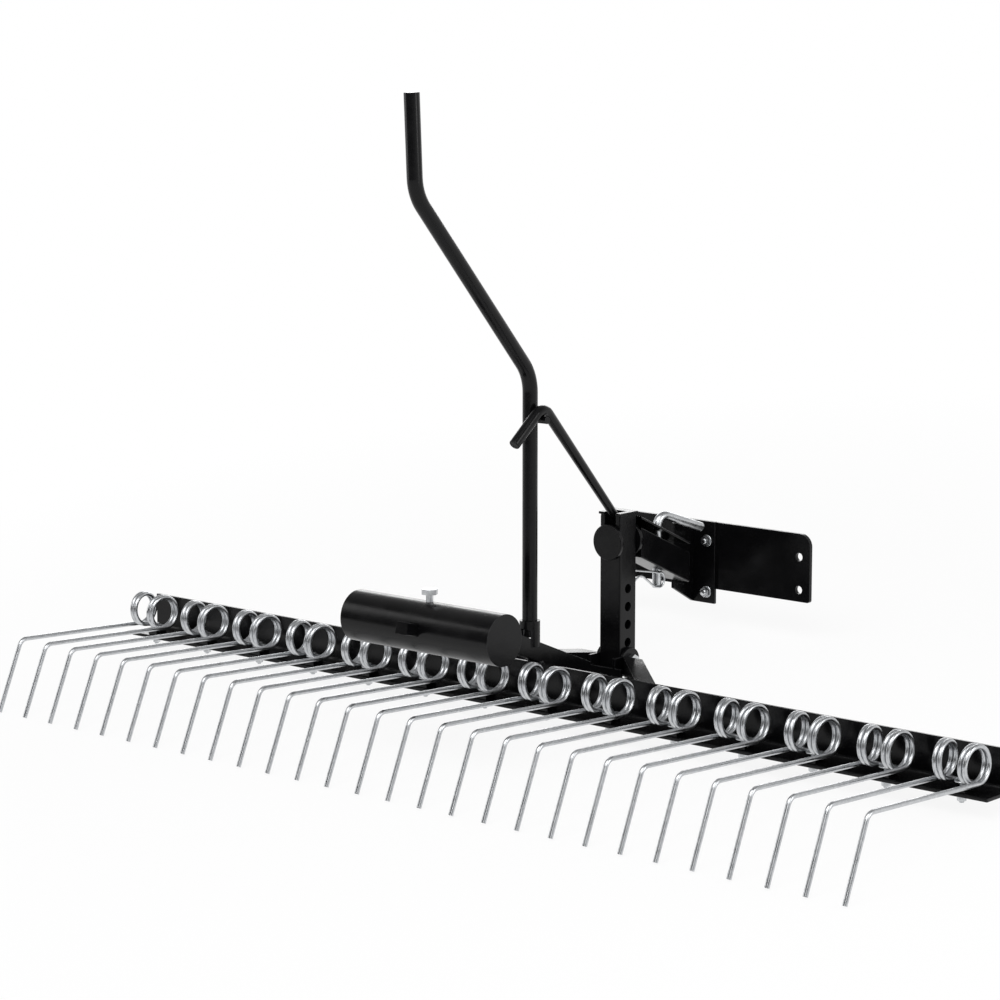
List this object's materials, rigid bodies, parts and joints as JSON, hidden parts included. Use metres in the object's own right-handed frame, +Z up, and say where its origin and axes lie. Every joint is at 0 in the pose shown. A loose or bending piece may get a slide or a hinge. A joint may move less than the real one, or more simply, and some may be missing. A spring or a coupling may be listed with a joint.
{
  "type": "tow-behind lawn rake",
  "caption": "Tow-behind lawn rake: an angle-iron bar of double-coil spring tines on a hinged mast, with a lift handle, a counterweight and a bolt-on hitch plate.",
  "frame": {"origin": "middle of the bounding box, on the floor the parked rake stands on", "axes": "+X along the tine bar to the rake's right, +Y forward towards the tractor, +Z up; the rake is stored as it parks, tipped forward on its tine tips and the yoke under its mast"},
  "size_m": [1.5, 0.7382, 0.8734],
  "materials": {
    "black_coat": "gloss",
    "zinc_plate": "bright zinc"
  },
  "bodies": {
    "rake": {"apex_plate": "black_coat", "brace_left": "black_coat", "brace_right": "black_coat", "handle_socket": "black_coat", "hinge_bolt": "zinc_plate", "hinge_yoke": "black_coat", "latch_peg": "black_coat", "lift_handle": "black_coat", "rake_bar": "black_coat", "spine": "black_coat", "tine_01": "zinc_plate", "tine_02": "zinc_plate", "tine_03": "zinc_plate", "tine_04": "zinc_plate", "tine_05": "zinc_plate", "tine_06": "zinc_plate", "tine_07": "zinc_plate", "tine_08": "zinc_plate", "tine_09": "zinc_plate", "tine_10": "zinc_plate", "tine_11": "zinc_plate", "tine_12": "zinc_plate", "tine_13": "zinc_plate", "tine_14": "zinc_plate"},
    "mast": {"mast_post": "black_coat", "mast_cap": "black_coat", "rod_pin": "black_coat"},
    "hook": {"hook_rod": "black_coat"},
    "hitch": {"roll_pivot": "black_coat", "tongue": "black_coat", "pin_sleeve": "black_coat", "hitch_pin": "zinc_plate", "bracket_left": "black_coat", "bracket_right": "black_coat", "hitch_plate": "black_coat"},
    "weight": {"counterweight": "black_coat", "weight_screw": "zinc_plate"}
  },
  "joints": [
    {"name": "lift", "type": "hinge", "parent": "rake", "child": "mast", "pos_m": [0, 0.14313, 0.019], "axis": [1, 0, 0], "range_deg": [0, 12]},
    {"name": "hook_swing", "type": "hinge", "parent": "mast", "child": "hook", "pos_m": [0, 0.17532, 0.21133], "axis": [1, 0, 0], "range_deg": [-19.9, 0]},
    {"name": "roll", "type": "hinge", "parent": "mast", "child": "hitch", "pos_m": [0, 0.17086, 0.18469], "axis": [0, 0.9863, -0.165], "range_deg": [-10, 10]},
    {"name": "weight_slide", "type": "slide", "parent": "rake", "child": "weight", "axis": [0, 0.9245, -0.3811], "range_m": [-0.018, 0.11]}
  ],
  "couplings": [
    {"joint": "hook_swing", "follows": "lift", "ratio": -1.65}
  ]
}
